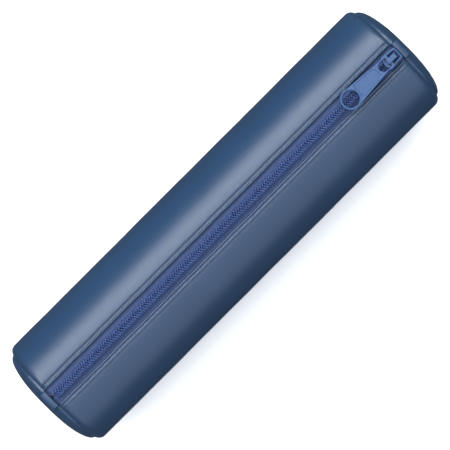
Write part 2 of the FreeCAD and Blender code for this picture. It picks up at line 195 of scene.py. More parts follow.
def cloth_piece(name, face, back, material, flip=False):
    """A sheet of cloth with two faces joined round its edge, its UV map sized from its face."""
    rows, columns = face.shape[:2]
    width, length = arc_length(face)
    points = np.concatenate([face, back[:, ::-1]], axis=1)
    piece = grid_piece(name, points, material, flip=flip, uv_size=(length, 2 * width), close_columns=True,
                       close_ends=True)
    return piece


def tube_mesh_data(path, radius, sides=8, start=0, up=(0, 0, 1)):
    """Points and faces of a tube along a path. radius is a number or one number per point. up is any
    direction that the path doesn't follow."""
    path = np.asarray(path, float)
    along = np.gradient(path, axis=0)
    along /= np.linalg.norm(along, axis=1)[:, None]
    normal = np.cross(along, np.array(up, float))
    weak = np.linalg.norm(normal, axis=1) < 1e-6
    normal[weak] = (0, 1, 0)
    normal /= np.linalg.norm(normal, axis=1)[:, None]
    other = np.cross(normal, along)
    angles = np.linspace(0, 2 * math.pi, sides, endpoint=False)
    wide = np.broadcast_to(np.asarray(radius, float), (len(path),))
    ring = (normal[:, None] * np.cos(angles)[None, :, None] + other[:, None] * np.sin(angles)[None, :, None])
    points = path[:, None] + ring * wide[:, None, None]
    faces = grid_faces(len(path), sides, close_columns=True, start=start)
    faces.append(tuple(start + i for i in range(sides))[::-1])
    faces.append(tuple(start + (len(path) - 1) * sides + i for i in range(sides)))
    return points.reshape(-1, 3), faces


def tubes_piece(name, paths, radius, material, sides=8, up=(0, 0, 1)):
    """One piece made of several tubes."""
    points, faces, count = [], [], 0
    for path in paths:
        more, more_faces = tube_mesh_data(path, radius, sides, count, up)
        points.append(more)
        faces += more_faces
        count += len(more)
    return new_piece(name, tidy_normals(mesh_from(name, np.concatenate(points), faces)), material)


def flex(piece, share=None):
    """Bakes the piece's placement into its mesh and works out how far each point would follow its side of the
    case where the mouth opens. Nothing uses these weights, so the piece keeps its shape.
    share, if given, is how much each point would follow apart from its place along the zip."""
    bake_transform(piece)
    points = np.array([v.co for v in piece.data.vertices], float).reshape(-1, 3) / MM
    weight = mouth(points[:, 0])
    if share is not None:
        weight = weight * share(points)
    return piece


def wall_share(points):
    """0 over the bottom of the tube, 1 on the sides, with a smooth bend round each bend line."""
    bottom_edge, bend_span = 158, 46            # degrees from the top of the tube
    angle = np.degrees(np.arctan2(np.abs(points[:, 1]), points[:, 2] - AXIS))
    return smooth((bottom_edge - angle) / bend_span)


# ---- materials ----

def material(name, color, roughness, **sockets):
    """A Principled material. Returns the material, its node tree and its shader."""
    made = bpy.data.materials.new(name)
    made.use_nodes = True
    shader = made.node_tree.nodes["Principled BSDF"]
    shader.inputs["Base Color"].default_value = (*color, 1)
    shader.inputs["Roughness"].default_value = roughness
    for socket, value in sockets.items():
        shader.inputs[socket.replace("_", " ")].default_value = value
    return made, made.node_tree, shader


def node(tree, kind, **settings):
    made = tree.nodes.new(kind)
    for key, value in settings.items():
        if key in made.inputs:
            made.inputs[key].default_value = value
        else:
            setattr(made, key, value)
    return made


def coordinates(tree, stretch=(1, 1, 1), output="Object"):
    """Coordinates in millimetres, stretched along each axis."""
    where = node(tree, "ShaderNodeTexCoord")
    mapping = node(tree, "ShaderNodeMapping")
    scale = 1 / MM if output == "Object" else 1
    mapping.inputs["Scale"].default_value = [s * scale for s in stretch]
    tree.links.new(where.outputs[output], mapping.inputs["Vector"])
    return mapping.outputs["Vector"]


def noise(tree, vector, per_mm, detail=3.0, rough=0.55):
    made = node(tree, "ShaderNodeTexNoise", Scale=per_mm, Detail=detail, Roughness=rough)
    tree.links.new(vector, made.inputs["Vector"])
    return made.outputs["Fac"]


def remap(tree, value, low_out, high_out, low_in=0.3, high_in=0.7):
    made = node(tree, "ShaderNodeMapRange")
    limits = {"From Min": low_in, "From Max": high_in, "To Min": low_out, "To Max": high_out}
    for socket, number in limits.items():
        made.inputs[socket].default_value = number
    tree.links.new(value, made.inputs["Value"])
    return made.outputs["Result"]


def mix_color(tree, factor, first, second):
    """Two plain colours mixed by a factor. The node has sockets of the same names for other types."""
    made = node(tree, "ShaderNodeMix", data_type="RGBA")
    for socket, value in (("A", first), ("B", second)):
        target = [s for s in made.inputs if s.name == socket and s.type == "RGBA"][0]
        target.default_value = (*value, 1)
    target = [s for s in made.inputs if s.name == "Factor" and s.type == "VALUE"][0]
    tree.links.new(factor, target)
    return [s for s in made.outputs if s.type == "RGBA"][0]


def math_node(tree, operation, first, second=None, clamp=False):
    made = node(tree, "ShaderNodeMath", operation=operation, use_clamp=clamp)
    for socket, value in zip(made.inputs, (first, second)):
        if value is None:
            continue
        if isinstance(value, (int, float)):
            socket.default_value = value
        else:
            tree.links.new(value, socket)
    return made.outputs["Value"]


def times(tree, first, second):
    return math_node(tree, "MULTIPLY", first, second)


def plus(tree, first, second):
    return math_node(tree, "ADD", first, second)


def bump(tree, shader, layers):
    """Chain bumps onto the shader: each layer is (height socket, depth in mm, strength)."""
    normal = None
    for height, depth, strength in layers:
        made = node(tree, "ShaderNodeBump", Strength=strength, Distance=depth * MM)
        tree.links.new(height, made.inputs["Height"])
        if normal is not None:
            tree.links.new(normal, made.inputs["Normal"])
        normal = made.outputs["Normal"]
    tree.links.new(normal, shader.inputs["Normal"])


def leather_material(name, dark, light, roughness=(0.33, 0.42), grain=1.0):
    """Smooth finished leather: tiny pebbles, faint pores, soft colour drift."""
    made, tree, shader = material(name, dark, sum(roughness) / 2, Specular_IOR_Level=0.62)
    where = coordinates(tree)
    drift = noise(tree, where, 0.035, 4.0)
    tree.links.new(mix_color(tree, remap(tree, drift, 0, 1), dark, light), shader.inputs["Base Color"])
    patch = noise(tree, where, 0.6, 5.0)
    tree.links.new(remap(tree, patch, *roughness), shader.inputs["Roughness"])
    pebbles = node(tree, "ShaderNodeTexVoronoi", Scale=1.9, Randomness=0.9)
    pebbles.feature = "SMOOTH_F1"
    tree.links.new(where, pebbles.inputs["Vector"])
    bump(tree, shader, [(pebbles.outputs["Distance"], 0.03, 0.20 * grain),
                        (noise(tree, where, 5.0, 3.0), 0.02, 0.20 * grain),
                        (noise(tree, where, 0.12, 2.0), 0.6, 0.05)])
    return made


def thread_material(name, color, roughness=0.62):
    """Twisted thread: slanting plies and a soft sheen."""
    made, tree, shader = material(name, color, roughness, Sheen_Weight=0.25)
    steeper = 1.6
    where = coordinates(tree, (1, steeper, steeper))
    plies = node(tree, "ShaderNodeTexWave", Scale=1.6, Distortion=0.6)
    plies.bands_direction = "DIAGONAL"
    tree.links.new(where, plies.inputs["Vector"])
    pale = tuple(min(1, 1.5 * c + 0.01) for c in color)
    tree.links.new(mix_color(tree, plies.outputs["Fac"], color, pale), shader.inputs["Base Color"])
    bump(tree, shader, [(plies.outputs["Fac"], 0.06, 0.6), (noise(tree, where, 9.0), 0.02, 0.4)])
    return made


def woven_material(name, color, pale, threads_per_mm, twill=0.0, roughness=0.75, depth=0.08):
    """A weave from two crossed waves in the piece's own UV millimetres. twill slants one of them."""
    made, tree, shader = material(name, color, roughness, Sheen_Weight=0.2)
    where = coordinates(tree, output="UV")
    split = node(tree, "ShaderNodeSeparateXYZ")
    tree.links.new(where, split.inputs["Vector"])
    along, across = split.outputs["X"], split.outputs["Y"]
    turn = 2 * math.pi * threads_per_mm
    slanted = plus(tree, times(tree, along, turn), times(tree, across, turn * twill))
    warp = math_node(tree, "SINE", slanted)
    weft = math_node(tree, "SINE", times(tree, across, turn))
    height = plus(tree, times(tree, times(tree, warp, weft), 0.35), 0.5)
    fuzz = noise(tree, where, 3.0, 4.0)
    fuzz_share = 0.3
    mixed = plus(tree, times(tree, height, 1 - fuzz_share), times(tree, fuzz, fuzz_share))
    shade = remap(tree, mixed, 0, 1, 0.2, 0.8)
    tree.links.new(mix_color(tree, shade, color, pale), shader.inputs["Base Color"])
    bump(tree, shader, [(height, depth, 0.7), (fuzz, 0.05, 0.4)])
    return made


def nylon_material(name, color, pale):
    """Nylon wire of the coil: smooth, dyed through, with faint drawing marks."""
    made, tree, shader = material(name, color, 0.30, Specular_IOR_Level=0.5,
                                  Specular_Tint=(0.55, 0.72, 1.0, 1.0))
    where = coordinates(tree)
    drift = noise(tree, where, 0.5, 3.0)
    tree.links.new(mix_color(tree, remap(tree, drift, 0, 1), color, pale), shader.inputs["Base Color"])
    tree.links.new(remap(tree, noise(tree, where, 1.5), 0.20, 0.32), shader.inputs["Roughness"])
    bump(tree, shader, [(noise(tree, where, 7.0), 0.02, 0.35)])
    return made


def paint_material(name, color, worn):
    """Painted die-cast metal: satin paint with orange peel, fine scratches and rubbed edges."""
    made, tree, shader = material(name, color, 0.36, Coat_Weight=0.05, Coat_Roughness=0.25,
                                  Specular_IOR_Level=0.2)
    where = coordinates(tree)
    geometry = node(tree, "ShaderNodeNewGeometry")
    edges = remap(tree, geometry.outputs["Pointiness"], 0, 1, 0.51, 0.60)
    chips = times(tree, edges, remap(tree, noise(tree, where, 1.2, 5.0), 0.15, 0.85))
    scratch_lines = noise(tree, coordinates(tree, (0.35, 5.0, 1.0)), 2.2, 4.0)
    marks = times(tree, remap(tree, scratch_lines, 0, 1, 0.62, 0.72), 0.25)
    wear = math_node(tree, "ADD", chips, marks, clamp=True)
    tree.links.new(mix_color(tree, wear, color, worn), shader.inputs["Base Color"])
    tree.links.new(remap(tree, noise(tree, where, 0.9, 4.0), 0.30, 0.44), shader.inputs["Roughness"])
    bump(tree, shader, [(noise(tree, where, 2.4, 2.0), 0.03, 0.16), (scratch_lines, 0.01, 0.12)])
    return made


def steel_material(name):
    """Bare spring steel with fine drawing lines."""
    made, tree, shader = material(name, (0.55, 0.56, 0.58), 0.3, Metallic=1.0)
    where = coordinates(tree, (0.4, 6.0, 1.0))
    lines = noise(tree, where, 3.0)
    tree.links.new(remap(tree, lines, 0.24, 0.4), shader.inputs["Roughness"])
    bump(tree, shader, [(lines, 0.01, 0.3)])
    return made


NAVY = ((0.0098, 0.031, 0.072), (0.0114, 0.036, 0.082))
PANEL = leather_material("panel_leather", *NAVY)
CAP = leather_material("cap_leather", *NAVY, grain=1.2)
# The tabs are the same navy leather as the panel and caps. They are coloured a little lighter as a painted
# highlight, for raised tabs that catch more light.
TAB_PAINTED_LIGHTER = leather_material("tab_leather", (0.012, 0.037, 0.085), (0.014, 0.042, 0.095))
LIP_THREAD = thread_material("lip_thread", (0.030, 0.060, 0.115))
COIL_THREAD = thread_material("coil_thread", (0.030, 0.058, 0.175), 0.45)
SEAM_THREAD = thread_material("seam_thread", (0.012, 0.024, 0.085))
TAPE = woven_material("zip_tape", (0.010, 0.027, 0.090), (0.017, 0.039, 0.120), 1.15, twill=0.8)
LINING = woven_material("lining_cloth", (0.016, 0.026, 0.060), (0.030, 0.045, 0.092), 1.5)
BINDING = woven_material("binding_tape", (0.014, 0.022, 0.052), (0.026, 0.038, 0.080), 1.0)
CORD = thread_material("coil_cord", (0.009, 0.018, 0.065))
NYLON = nylon_material("zip_coil", (0.012, 0.029, 0.105), (0.025, 0.050, 0.155))
PAINT = paint_material("slider_paint", (0.024, 0.062, 0.155), (0.085, 0.145, 0.280))
STEEL = steel_material("spring_steel")


# ---- leather panel ----

def panel_stations():
    """Along the case: x and how far the outer face has sunk, with the ends rolled in over the corner
    and a short tuck inside the opening."""
    step = 0.8
    rise = OPENING - RADIUS + CORNER
    straight = PANEL_END - math.sqrt(CORNER ** 2 - rise ** 2)
    flat = np.linspace(-straight, straight, int(2 * straight / step))
    last = math.acos(rise / CORNER)
    bend = np.linspace(0, last, 11)[1:]
    x = straight + CORNER * np.sin(bend)
    sunk = CORNER * (1 - np.cos(bend))
    tuck_x = PANEL_END - np.array([0.12, 0.5, 1.4])
    tuck_sunk = RADIUS - OPENING + np.array([0.22, 0.32, 0.34])
    end_x = np.concatenate([x, tuck_x])
    end_sunk = np.concatenate([sunk, tuck_sunk])
    return (np.concatenate([-end_x[::-1], flat, end_x]),
            np.concatenate([end_sunk[::-1], np.zeros(len(flat)), end_sunk]))


def lip_profile():
    """Across the lip, from out on the panel, over the rounded edge and back underneath:
    distance from the edge, depth below the outer face and how much surface relief applies."""
    half = LEATHER / 2
    fine_from = 7.0
    coarse = np.geomspace(fine_from, (math.pi - LIP_ANGLE) * RADIUS, 64)[::-1]
    fine = np.linspace(fine_from, half, 64)[1:]
    turn = np.linspace(0, math.pi, 13)[1:]
    under = np.linspace(half, 6.5, 8)[1:]
    distance = np.concatenate([coarse, fine, half - half * np.sin(turn), under])
    depth = np.concatenate([np.zeros(len(coarse) + len(fine)), half - half * np.cos(turn),
                            np.full(len(under), LEATHER)])
    relief_share = np.concatenate([np.ones(len(coarse) + len(fine)), (1 + np.cos(turn)) / 2 * 0.9,
                                   np.zeros(len(under))])
    return distance, depth, relief_share


# The two lips differ: -1 is the front one, 1 the back one. STITCH_LINE, GROOVE_LINE and CREASE_LINE are
# distances from the lip's edge to its stitches, the groove beyond them and a crease nearer the edge.
# RIDGE is the height of the roll that the stitches lie on. EDGE_REACH is how far the lip comes in past
# its CAD edge; it turns that side's whole skin, so the front one stops as far short of the bottom line.
STITCH_LINE = {-1: 1.95, 1: 1.15}
GROOVE_LINE = {-1: 3.20, 1: 2.30}
GROOVE_DEPTH = {-1: 0.04, 1: 0.46}
RIDGE = {-1: 0.30, 1: 0.14}
CREASE_LINE, CREASE_DEPTH = 1.08, {-1: 0.50, 1: 0.0}
EDGE_REACH = {-1: 0.35, 1: 0.0}


def stitch_xs(side):
    """Middles of the stitches along one lip. The two lips' stitches don't line up."""
    end_gap, stagger = 3.6, 0.35
    count = int(2 * (PANEL_END - end_gap) / STITCH_PITCH)
    return (np.arange(count) - (count - 1) / 2) * STITCH_PITCH + stagger * side


def lip_relief(distance, x, side):
    """Height added to the outer face: a rolled lip, grooves beside it and puckers at the stitches."""
    stitches, groove = STITCH_LINE[side], GROOVE_LINE[side]
    relief = (RIDGE[side] * bump_at(distance, stitches + 0.1, 0.60)
              - CREASE_DEPTH[side] * bump_at(distance, CREASE_LINE, 0.26)
              - GROOVE_DEPTH[side] * bump_at(distance, groove, 0.30))
    first = stitch_xs(side)[0]
    phase = (x - first) / STITCH_PITCH
    from_hole = np.abs(phase - np.floor(phase) - 0.5) * STITCH_PITCH
    pucker = 0.16 * bump_at(from_hole, 0, 0.55) * bump_at(distance, stitches, 0.42)
    channel = 0.14 * bump_at(distance, stitches, 0.22)
    return relief - pucker - channel


def hand_feel(x, angle, side):
    """The slight unevenness of leather stretched over a stiff tube, fading out at the ends."""
    height, fade_length = 0.07, 12
    fade = smooth((PANEL_END - np.abs(x)) / fade_length)
    waves = ripple((x, 97.0, 1.0 + side), (x + 9 * angle, 41.0, 2.0), (x - 14 * angle, 23.0, side * 1.7))
    return height * fade * waves


def leather_skin(side_name, side):
    """One half of the panel, from the lip's underside round to the bottom line."""
    x, sunk = panel_stations()
    distance, depth, relief_share = lip_profile()
    x, sunk = x[:, None], sunk[:, None]
    distance, depth, relief_share = distance[None, :], depth[None, :], relief_share[None, :]
    angle = LIP_ANGLE + (distance - EDGE_REACH[side]) / RADIUS
    wave = 0.10 * ripple((x, 31.0, side), (x, 17.0, 2 * side)) * np.exp(-distance / 5)
    relief = relief_share * lip_relief(distance, x, side)
    radius = RADIUS - sunk - depth + relief + hand_feel(x, angle, side) * relief_share
    points = on_case(x, radius, angle + wave / RADIUS, side)
    points[..., 2] = np.maximum(points[..., 2], 0.0)
    girth = (math.pi - LIP_ANGLE) * RADIUS
    piece = grid_piece(f"leather_skin_{side_name}", points, PANEL, flip=side > 0,
                       uv_size=(2 * PANEL_END, girth))
    bottom = ["leather_bottom", "stiffener_bottom"] if side < 0 else []
    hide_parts(f"leather_{side_name}", f"stiffener_{side_name}", *bottom)
    return flex(piece, wall_share)


STITCH_POINTS = 13


def stitch_path(x_middle, side):
    """One stitch of the lip: out of its hole, along the lip, and down into the next."""
    hole_gap, thread_rise, plunge = 0.12, 0.16, 0.62
    half = STITCH_PITCH / 2 - hole_gap
    along = np.linspace(-half, half, STITCH_POINTS)
    lean = 0.16 * along / half
    rise = thread_rise - plunge * np.abs(along / half) ** 5
    distance = STITCH_LINE[side] - EDGE_REACH[side] + side * lean
    angle = LIP_ANGLE + distance / RADIUS
    x = x_middle + along
    return on_case(x, RADIUS + 0.10 + rise, angle, side)


def lip_stitches(side_name, side):
    thread_radius = 0.245
    xs = stitch_xs(side)
    taper = thread_radius * (1 - 0.35 * np.abs(np.linspace(-1, 1, STITCH_POINTS)) ** 4)
    piece = tubes_piece(f"lip_stitches_{side_name}", [stitch_path(x, side) for x in xs], taper, LIP_THREAD)
    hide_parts(f"lip_stitching_{side_name}")
    return flex(piece)


def lining_skin(side_name, side):
    """Cloth inside the tube, from the bottom up to its hem beside the zip tape."""
    x = np.linspace(-LINING_END, LINING_END, 190)[:, None]
    top, hem_middle = math.radians(25.0), 26.0
    angle = np.linspace(math.pi, top, 70)[None, :]
    hem = 0.35 * bump_at(np.degrees(angle), hem_middle, 1.3)
    slack = 0.16 * ripple((x, 37.0, side), (x + 22 * angle, 19.0, 1.0), (angle, 0.55, 0.4))
    radius = LINING_RADIUS - hem + slack - 0.15
    inner = on_case(x, radius, angle, side)
    outer = on_case(x, np.full_like(radius, LINING_RADIUS + 0.3), angle, side)
    piece = cloth_piece(f"lining_skin_{side_name}", inner, outer, LINING,
                        flip=side < 0)
    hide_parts(f"lining_{side_name}", *(["lining_bottom"] if side < 0 else []))
    return flex(piece, wall_share)


# ---- zip ----

TAPE_TOP = COIL_LOW - 0.05
TAPE_THICK = 0.45
SLANT = 0.42                # how much a coil's turns lean along the zip for each millimetre across it
COIL_START = 0.8            # from the tape's end to the coil's


def zip_tape(side_name, side):
    """Woven tape with a firm edge, flat beside the coil and tucked under the lip."""
    x = np.linspace(-ZIP_END, ZIP_END, 300)[:, None]
    y = np.concatenate([np.linspace(0.75, 4.6, 30), np.linspace(4.8, 10.6, 12)])[None, :]
    under_lip = RADIUS - LEATHER - 0.12
    flat = np.full_like(y, TAPE_TOP)
    bent = np.sqrt(under_lip ** 2 - y ** 2)
    height = flat + (bent - flat) * smooth((y - 4.2) / 2.6) + 0.05 * ripple((x, 13.0, side), (x, 7.7, 1.0))
    height = height - 0.10 * bump_at(y, 3.1, 0.35)
    height = np.minimum(height, bent + 0.4)
    dip_length = 1.8
    end_dip = 1.6 * smooth((np.abs(x) - (ZIP_END - dip_length)) / dip_length)
    top = np.stack(np.broadcast_arrays(x, side * y, AXIS + height - end_dip), axis=-1)
    below = top - np.array([0, 0, TAPE_THICK])
    piece = cloth_piece(f"tape_{side_name}", top, below, TAPE,
                        flip=side < 0)
    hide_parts(f"zip_tape_{side_name}")
    return flex(piece)


def coil_shift(side):
    """The back coil's turns fall between the front one's."""
    return PITCH / 2 if side > 0 else 0.0


def coil(side_name, side):
    """One continuous nylon spiral. Its turns lean outwards to +X."""
    wire = 0.31
    bend = (COIL_TOP - COIL_LOW) / 2 - wire
    near, far = -COIL_IN + wire + bend, COIL_OUT - wire - bend
    per_turn = 20
    turns = int((2 * ZIP_END - 2 * COIL_START) / PITCH)
    t = np.arange(turns * per_turn + 1) / per_turn
    loop = (t % 1.0) * 4
    part, along = np.floor(loop).astype(int), loop % 1.0
    swing = math.pi * along
    y = np.select([part == 0, part == 1, part == 2, part == 3],
                  [near + (far - near) * along, far + bend * np.sin(swing),
                   far + (near - far) * along, near - bend * np.sin(swing)])
    z = np.select([part == 0, part == 1, part == 2, part == 3],
                  [np.full_like(t, bend), bend * np.cos(swing),
                   np.full_like(t, -bend), -bend * np.cos(swing)])
    z = z * (1 - 0.15 * bump_at(y, near, 0.7))
    x = -ZIP_END + COIL_START + coil_shift(side) + t * PITCH + SLANT * np.abs(y)
    keep = x < ZIP_END - 0.3
    middle = AXIS + (COIL_LOW + COIL_TOP) / 2
    path = np.stack([x, side * y, middle + z], axis=-1)[keep]
    head = np.where(part[keep] == 3, np.sin(swing[keep]), 0)
    thick = wire * (1 + 0.12 * head)
    points, faces = tube_mesh_data(path, thick, sides=7, up=(1, 0, 0))
    piece = new_piece(f"coil_{side_name}", tidy_normals(mesh_from(f"coil_{side_name}", points, faces)), NYLON)
    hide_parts(f"zip_coil_{side_name}")
    return flex(piece)


def coil_cord(side_name, side):
    """The filler cord inside the coil."""
    x = np.arange(-ZIP_END + 1.0, ZIP_END - 1.0, 0.5)
    y = side * ((COIL_OUT - COIL_IN) / 2 + 0.05 * np.sin(x * 4))
    path = np.stack([x, y, np.full_like(x, AXIS + (COIL_LOW + COIL_TOP) / 2 - 0.05)], axis=-1)
    piece = tubes_piece(f"cord_{side_name}", [path], 0.36, CORD, sides=8)
    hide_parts(f"coil_cord_{side_name}")
    return flex(piece)


def coil_threads(side_name, side):
    """Two lines of sewing thread over the coil: up over each leg and down between it and the next."""
    paths = []
    for offset in (1.22, 1.74):
        x = np.arange(-ZIP_END + 1.2, ZIP_END - 1.0, PITCH / 8)
        from_start = x - SLANT * offset - coil_shift(side) + ZIP_END - COIL_START
        top_leg = from_start / PITCH - 0.25 * (offset + COIL_IN) / 2.0
        dip = (1 - np.cos(2 * math.pi * top_leg)) / 2
        z = AXIS + COIL_TOP - 0.30 - 0.42 * dip
        y = side * (offset + 0.05 * np.sin(2 * math.pi * top_leg))
        paths.append(np.stack([x, y, z], axis=-1))
    piece = tubes_piece(f"coil_threads_{side_name}", paths, 0.11, COIL_THREAD, sides=6)
    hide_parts(f"coil_thread_{side_name}")
    return flex(piece)


for side_name, side in SIDES.items():
    leather_skin(side_name, side)
    lip_stitches(side_name, side)
    lining_skin(side_name, side)
    zip_tape(side_name, side)
    coil(side_name, side)
    coil_cord(side_name, side)
    coil_threads(side_name, side)


# ---- ends ----

CAP_START = 104.3           # where the cap's straight wall ends and its shoulder starts
CAP_WALL = 1.1              # length of that wall
CAP_ROUND = 2.9             # how full the shoulder is: 2 would be an ellipse
CAP_SEAM = 105.0            # the crease round the cap, just outside the panel's rolled end
DISC_RADIUS = 24.8
BINDING_RADIUS, BINDING_HALF = 24.65, 1.2


def round_axis(x, radius, around):
    """Points at angles all the way round the tube's axis, from its top."""
    return np.stack(np.broadcast_arrays(x, radius * np.sin(around), AXIS + radius * np.cos(around)), axis=-1)


def cap_profile():
    """From inside the panel out over the rounded shoulder to the middle of the dome: x and radius."""
    wall = np.stack([np.linspace(CAP_START - CAP_WALL, CAP_START, 4)[:-1], np.full(3, CAP_RADIUS)], axis=-1)
    turn = np.linspace(0, math.pi / 2, 56)
    share = np.cos(turn) ** (2 / CAP_ROUND)
    dome = np.stack([CAP_START + (CAP_TIP - CAP_START) * np.sin(turn),
                     np.maximum(CAP_RADIUS * share, 0.01)], axis=-1)
    return np.concatenate([wall, dome])


def end_cap(end_name, end):
    """A padded leather disc. Small gathers radiate from its seam and die out over the shoulder. Its wall
    is pressed in under the zip's end, where it would show through the opening."""
    profile = cap_profile()
    around = np.linspace(0, 2 * math.pi, 432, endpoint=False)[None, :]
    x, radius = profile[:, 0][:, None], profile[:, 1][:, None]
    gathers = (ripple((around, 2 * math.pi / 46, 0.4), (around, 2 * math.pi / 31, 2.0 + end),
                      (around, 2 * math.pi / 17, end)))
    near_seam = bump_at(x, 104.9, 1.5)
    crease = 0.14 * bump_at(x, CAP_SEAM, 0.35)
    notch_depth, notch_angle = 2.2, 0.26
    from_top = np.minimum(around, 2 * math.pi - around)
    under_zip = smooth((CAP_START + 0.1 - x) / 0.5) * smooth((notch_angle - from_top) / 0.05)
    radius = radius + near_seam * 0.08 * gathers - crease - notch_depth * under_zip
    waves = ripple((radius, 23.0, end), (around + radius / 9, 2 * math.pi / 3, 1.0))
    x = x + 0.10 * waves * (radius / CAP_RADIUS) * smooth((x - 106) / 2)
    points = round_axis(end * x, radius, around)
    piece = grid_piece(f"cap_skin_{end_name}", points, CAP, flip=end > 0, close_columns=True)
    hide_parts(f"end_cap_{end_name}", f"end_padding_{end_name}", f"end_board_{end_name}")
    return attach(piece, "case")


def cap_surface(distance):
    """Point on the cap's profile a distance along it from where the panel ends, and its outward normal."""
    profile = cap_profile()
    start = profile[:, 0] > PANEL_END - 0.2
    line = profile[start]
    run = np.concatenate([[0], np.cumsum(np.linalg.norm(np.diff(line, axis=0), axis=1))])
    x = np.interp(distance, run, line[:, 0])
    r = np.interp(distance, run, line[:, 1])
    further = distance + 0.1
    ahead = np.stack([np.interp(further, run, line[:, 0]) - x, np.interp(further, run, line[:, 1]) - r], -1)
    ahead /= np.linalg.norm(ahead, axis=-1)[..., None]
    return x, r, -ahead[..., 1], ahead[..., 0]


def end_tab(end_name, end):
    """A folded leather tab over the zip's end, from under the panel out over the cap's shoulder."""
    length, half_wide, thick = 3.1, 4.55, 1.45
    run = np.linspace(0, 1, 26)[:, None]
    across = np.linspace(-1, 1, 45)[None, :]
    tip_share, start_share, roundness, bedded = 0.16, 0.10, 2.4, 0.05
    edge = 1 - np.abs(across) ** 18
    tip = 1 - np.clip((run - 0.84) / tip_share, 0, 1) ** roundness
    start = 1 - np.clip((start_share - run) / start_share, 0, 1) ** roundness
    lift = thick * np.sqrt(np.clip(edge * tip * start, 0, 1)) + 0.08 * bump_at(np.abs(across), 0.82, 0.07)
    x, r, nx, nr = cap_surface(np.broadcast_to(run, lift.shape) * length)
    corner = 1 - 0.05 * smooth((run - 0.8) / 0.2)
    y = across * half_wide * corner
    radius = r + nr * (lift - bedded)
    x = x + nx * (lift - bedded)
    z = AXIS + np.sqrt(np.maximum(radius ** 2 - y ** 2, 0))
    points = np.stack(np.broadcast_arrays(end * x, y, z), axis=-1)
    piece = grid_piece(f"tab_{end_name}", points, TAB_PAINTED_LIGHTER, flip=end < 0)
    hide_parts(f"end_tab_{end_name}")
    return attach(piece, "case")


def end_inside(end_name, end):
    """Lining disc, the binding tape round it and the stitches through the tape."""
    around = np.linspace(0, 2 * math.pi, 128, endpoint=False)[None, :]
    radius = np.linspace(DISC_RADIUS, 0.05, 24)[:, None]
    slack = 0.12 * ripple((radius, 9.0, 1.0), (around, 2 * math.pi / 5, end))
    x = end * (high("end_lining_right")[0] - 0.3 - slack)
    disc = grid_piece(f"end_cloth_{end_name}", round_axis(x, radius, around), LINING, flip=end < 0,
                      uv_size=(25.0, 150.0), close_columns=True)
    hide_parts(f"end_lining_{end_name}")
    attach(disc, "case")

    zip_gap = math.radians(13.0)
    around = np.linspace(zip_gap, 2 * math.pi - zip_gap, 180)[:, None]
    section = np.linspace(0, 2 * math.pi, 17)[None, :]
    middle = end * (low("seam_binding_right")[0] + BINDING_HALF)
    x = middle + BINDING_HALF * np.sign(np.cos(section)) * np.abs(np.cos(section)) ** 0.5
    bulge = 0.22 * np.sign(np.sin(section)) * np.abs(np.sin(section)) ** 0.6
    radius = BINDING_RADIUS + bulge + 0.04 * ripple((around, 0.21, 0.0), (around, 0.13, 1.0))
    tape = grid_piece(f"binding_{end_name}", round_axis(x, radius, around), BINDING, flip=end > 0,
                      uv_size=(150.0, 6.0))
    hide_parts(f"seam_binding_{end_name}")
    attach(tape, "case")

    paths = []
    inner = BINDING_RADIUS - 0.24
    stitch_step, stitch_span = 0.125, 0.098
    for a in np.arange(zip_gap + 0.03, 2 * math.pi - zip_gap - 0.12, stitch_step):
        arc = np.linspace(a, a + stitch_span, 9)
        sink = 0.22 * np.abs(np.linspace(-1, 1, 9)) ** 4
        paths.append(round_axis(middle, inner + sink - 0.05, arc))
    seam = tubes_piece(f"end_stitches_{end_name}", paths, 0.14, SEAM_THREAD, sides=6, up=(1, 0, 0))
    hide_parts(f"end_seam_{end_name}")
    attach(seam, "case")


for end_name, end in (("left", -1), ("right", 1)):
    end_cap(end_name, end)
    end_tab(end_name, end)
    end_inside(end_name, end)


# ---- slider and pull ----

def rounded(corners, radii, steps=8):
    """A closed outline through corners, each rounded by its radius."""
    corners = [np.array(c, float) for c in corners]
    outline = []
    for i, corner in enumerate(corners):
        before, after = corners[i - 1] - corner, corners[(i + 1) % len(corners)] - corner
        a, b = before / np.linalg.norm(before), after / np.linalg.norm(after)
        half = math.acos(np.clip(a @ b, -1, 1)) / 2
        reach = min(radii[i] / math.tan(half), 0.49 * np.linalg.norm(before), 0.49 * np.linalg.norm(after))
        radius = reach * math.tan(half)
        if radius < 1e-4:
            outline.append(corner)
            continue
        centre = corner + (a + b) / np.linalg.norm(a + b) * (radius / math.sin(half))
        p, q = corner + a * reach - centre, corner + b * reach - centre
        start = math.atan2(p[1], p[0])
        sweep = (math.atan2(q[1], q[0]) - start + math.pi) % (2 * math.pi) - math.pi
        for s in np.linspace(0, 1, steps):
            angle = start + sweep * s
            outline.append(centre + radius * np.array([math.cos(angle), math.sin(angle)]))
    return outline


def circle(centre, radius, steps=64):
    return [(centre[0] + radius * math.cos(a), centre[1] + radius * math.sin(a))
            for a in np.linspace(0, 2 * math.pi, steps, endpoint=False)]


def plate(outlines, bottom, top, edge, steps=3):
    """Mesh of a flat plate with holes and rounded edges, from closed outlines in millimetres."""
    curve = bpy.data.curves.new("plate", "CURVE")
    curve.dimensions = "2D"
    curve.fill_mode = "BOTH"
    curve.extrude = (top - bottom) / 2 - edge
    curve.bevel_depth = edge
    curve.bevel_resolution = steps
    curve.offset = -edge
    for outline in outlines:
        spline = curve.splines.new("POLY")
        spline.points.add(len(outline) - 1)
        for point, (x, y) in zip(spline.points, outline):
            point.co = (x, y, 0, 1)
        spline.use_cyclic_u = True
    holder = bpy.data.objects.new("plate", curve)
    bpy.context.scene.collection.objects.link(holder)
    bpy.context.view_layer.update()
    mesh = bpy.data.meshes.new_from_object(holder.evaluated_get(bpy.context.evaluated_depsgraph_get()))
    bpy.data.objects.remove(holder)
    mesh.transform(Matrix.Translation((0, 0, (top + bottom) / 2)))
    return mesh


